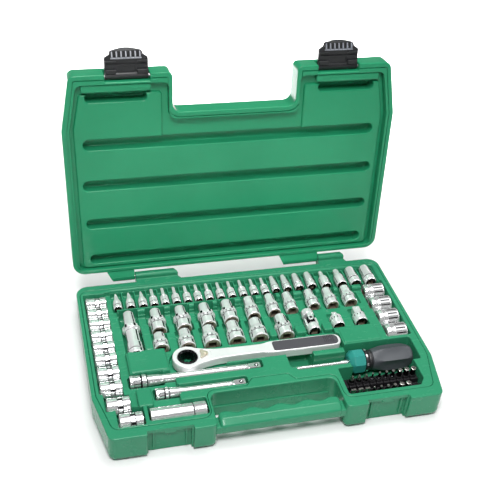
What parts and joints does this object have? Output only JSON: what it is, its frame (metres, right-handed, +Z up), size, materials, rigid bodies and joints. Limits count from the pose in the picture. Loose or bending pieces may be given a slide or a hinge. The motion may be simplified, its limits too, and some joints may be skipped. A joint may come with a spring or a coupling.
{
  "type": "socket wrench set in case",
  "caption": "Socket wrench set in a hinged moulded carrying case: ratchet, driver, extension bars, sockets, adapters and bits in fitted pockets.",
  "frame": {"origin": "centre of the underside of the case base", "axes": "+X to the right across the case, -Y towards the carrying handle and latches, +Z up out of the open base"},
  "size_m": [0.38, 0.3034, 0.3079],
  "materials": {
    "case_green": "moulded, soft sheen",
    "latch_black": "moulded satin",
    "pin_steel": "plain",
    "chrome": "polished plate",
    "dark_steel": "black oxide",
    "rack_black": "moulded, with dark steel bits",
    "grip_grey": "matte inlay",
    "handle_grey": "satin",
    "collar_teal": "satin",
    "lever_bronze": "satin plate"
  },
  "bodies": {
    "case": {"base_shell": "case_green", "tool_tray": "case_green", "hinge_pin_left": "pin_steel", "hinge_pin_right": "pin_steel"},
    "lid": {"lid_shell": "case_green", "lid_liner": "case_green", "latch_pin_left": "pin_steel", "latch_pin_right": "pin_steel"},
    "latch_left": {"latch_left": "latch_black"},
    "latch_right": {"latch_right": "latch_black"},
    "wrench": {"wrench_body": "chrome", "wrench_grip": "grip_grey"},
    "ratchet_ring": {"wrench_ring": "dark_steel"},
    "reversing_lever": {"wrench_lever": "lever_bronze"},
    "driver": {"driver_handle": "handle_grey", "driver_ring": "chrome"},
    "driver_collar": {"driver_collar": "collar_teal"},
    "driver_shaft": {"driver_shaft": "chrome"},
    "long_bar": {"extension_long": "chrome"},
    "short_bar": {"extension_short": "chrome"},
    "plug_socket": {"socket_plug": "chrome"},
    "spinner_bar": {"spinner_bar": "chrome"},
    "joint_front": {"joint_front": "chrome"},
    "joint_cross": {"joint_cross": "dark_steel"},
    "joint_back": {"joint_back": "chrome"},
    "left_sockets": {"socket_left_1": "chrome", "socket_left_2": "chrome", "socket_left_3": "chrome", "socket_left_4": "chrome", "socket_left_5": "chrome", "socket_left_6": "chrome", "socket_left_7": "chrome", "socket_left_8": "chrome", "socket_left_9": "chrome", "socket_left_10": "chrome"},
    "right_sockets": {"socket_right_1": "chrome", "socket_right_2": "chrome", "socket_right_3": "chrome", "socket_right_4": "chrome"},
    "second_row": {"socket_second_1": "chrome", "socket_second_2": "chrome", "socket_second_3": "chrome", "socket_second_4": "chrome", "socket_second_5": "chrome", "socket_second_6": "chrome", "socket_second_7": "chrome", "socket_second_8": "chrome", "socket_second_9": "chrome", "socket_second_10": "chrome"},
    "third_row": {"socket_third_1": "chrome", "socket_third_2": "chrome", "socket_third_3": "chrome", "socket_third_4": "chrome", "socket_third_5": "chrome", "socket_third_6": "chrome"},
    "adapters": {"adapter_1": "chrome", "adapter_2": "chrome"},
    "back_row": {"back_row_bits": "chrome"},
    "bit_rack": {"bit_rack": "rack_black"}
  },
  "joints": [
    {"name": "lid_hinge", "type": "hinge", "parent": "case", "child": "lid", "pos_m": [0, 0.129, 0.0355], "axis": [-1, 0, 0], "range_deg": [-97, 0]},
    {"name": "latch_left_hinge", "type": "hinge", "parent": "lid", "child": "latch_left", "pos_m": [-0.1175, 0.16525, 0.27739], "axis": [-1, 0, 0], "range_deg": [-90, 0]},
    {"name": "latch_right_hinge", "type": "hinge", "parent": "lid", "child": "latch_right", "pos_m": [0.1175, 0.16525, 0.27739], "axis": [-1, 0, 0], "range_deg": [-90, 0]},
    {"name": "wrench_lift", "type": "slide", "parent": "case", "child": "wrench", "axis": [0, 0, 1], "range_m": [0, 0.08]},
    {"name": "ratchet_ring_spin", "type": "hinge", "parent": "wrench", "child": "ratchet_ring", "pos_m": [-0.0817, -0.0188, 0.0308], "axis": [0, 0, 1], "continuous": true},
    {"name": "reversing_lever_turn", "type": "hinge", "parent": "wrench", "child": "reversing_lever", "pos_m": [-0.0622, -0.0178, 0.036], "axis": [0, 0, 1], "range_deg": [-12, 12]},
    {"name": "driver_lift", "type": "slide", "parent": "case", "child": "driver", "axis": [0, 0, 1], "range_m": [0, 0.08]},
    {"name": "driver_collar_turn", "type": "hinge", "parent": "driver", "child": "driver_collar", "pos_m": [0.105, -0.044, 0.021], "axis": [1, 0, 0], "range_deg": [-30, 30]},
    {"name": "driver_shaft_spin", "type": "hinge", "parent": "driver", "child": "driver_shaft", "pos_m": [0.06, -0.044, 0.021], "axis": [1, 0, 0], "continuous": true},
    {"name": "long_bar_lift", "type": "slide", "parent": "case", "child": "long_bar", "axis": [0, 0, 1], "range_m": [0, 0.06]},
    {"name": "short_bar_lift", "type": "slide", "parent": "case", "child": "short_bar", "axis": [0, 0, 1], "range_m": [0, 0.06]},
    {"name": "plug_socket_lift", "type": "slide", "parent": "case", "child": "plug_socket", "axis": [0, 0, 1], "range_m": [0, 0.06]},
    {"name": "spinner_bar_lift", "type": "slide", "parent": "case", "child": "spinner_bar", "axis": [0, 0, 1], "range_m": [0, 0.06]},
    {"name": "joint_lift", "type": "slide", "parent": "case", "child": "joint_front", "axis": [0, 0, 1], "range_m": [0, 0.06]},
    {"name": "joint_tilt", "type": "hinge", "parent": "joint_front", "child": "joint_cross", "pos_m": [0.0715, 0.0205, 0.03], "axis": [1, 0, 0], "range_deg": [0, 40]},
    {"name": "joint_swing", "type": "hinge", "parent": "joint_cross", "child": "joint_back", "pos_m": [0.0715, 0.0205, 0.03], "axis": [0, 0, 1], "range_deg": [-6, 6]},
    {"name": "left_sockets_lift", "type": "slide", "parent": "case", "child": "left_sockets", "axis": [0, 0, 1], "range_m": [0, 0.06]},
    {"name": "right_sockets_lift", "type": "slide", "parent": "case", "child": "right_sockets", "axis": [0, 0, 1], "range_m": [0, 0.06]},
    {"name": "second_row_lift", "type": "slide", "parent": "case", "child": "second_row", "axis": [0, 0, 1], "range_m": [0, 0.06]},
    {"name": "third_row_lift", "type": "slide", "parent": "case", "child": "third_row", "axis": [0, 0, 1], "range_m": [0, 0.06]},
    {"name": "adapters_lift", "type": "slide", "parent": "case", "child": "adapters", "axis": [0, 0, 1], "range_m": [0, 0.06]},
    {"name": "back_row_lift", "type": "slide", "parent": "case", "child": "back_row", "axis": [0, 0, 1], "range_m": [0, 0.06]},
    {"name": "bit_rack_lift", "type": "slide", "parent": "case", "child": "bit_rack", "axis": [0, 0, 1], "range_m": [0, 0.06]}
  ]
}
